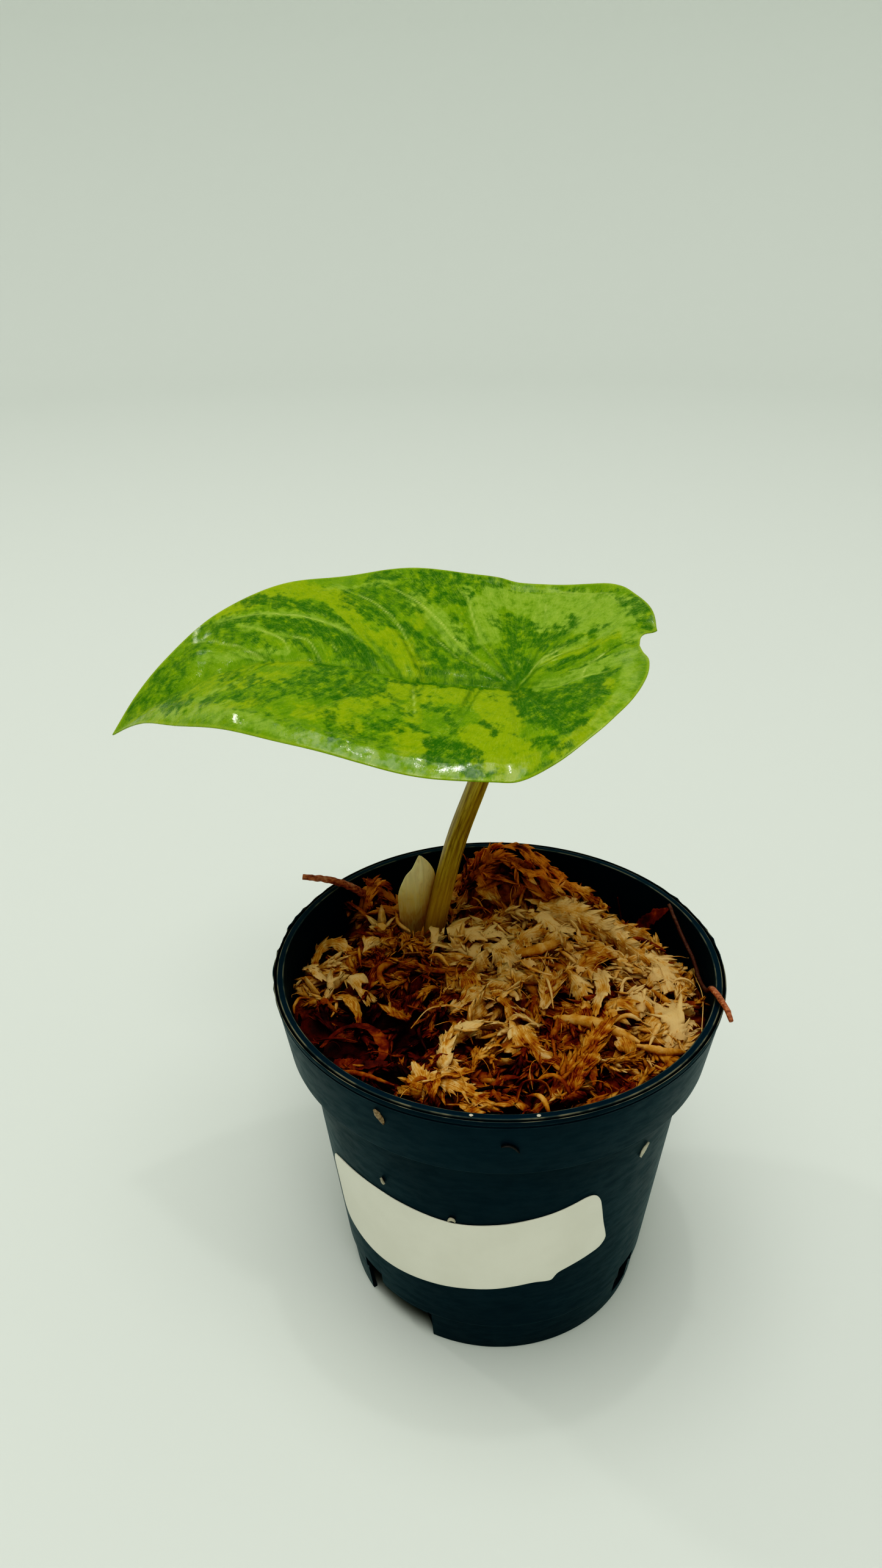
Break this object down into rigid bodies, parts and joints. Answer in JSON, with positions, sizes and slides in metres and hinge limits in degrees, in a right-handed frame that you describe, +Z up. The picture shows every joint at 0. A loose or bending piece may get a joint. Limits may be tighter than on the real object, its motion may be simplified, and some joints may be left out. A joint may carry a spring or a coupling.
{
  "type": "potted variegated alocasia scalprum",
  "caption": "Young peltate-leaved aroid with one glossy variegated leaf on a slender stalk, planted in long-fibred moss in a tapered nursery pot with a blank sticker.",
  "frame": {"origin": "middle of the pot's base, on the surface that the pot stands on", "axes": "+Z up through the pot's axis, -X towards the leaf's tip, -Y towards the front with the sticker"},
  "size_m": [0.1215, 0.09, 0.1427],
  "materials": {
    "pot_plastic": "satin moulded plastic, very dark blue-green",
    "sticker_paper": "matt off-white paper sticker, blank",
    "moss": "dry long-fibred moss, straw to rust brown",
    "leaf": "glossy living leaf, dark green and lime variegation with pale veins",
    "stalk": "satin olive skin with brown streaks",
    "sheath": "papery pale grey-green bract",
    "corm": "rough brown corm and roots",
    "bark": "dry red-brown bark"
  },
  "bodies": {
    "root": {"pot": "pot_plastic", "label": "sticker_paper", "moss_bed": "moss", "bark_twig_left": "bark", "bark_strip_right": "bark", "corm_and_roots": "corm", "petiole": "stalk", "sheath": "sheath", "leaf_blade": "leaf"}
  },
  "joints": []
}
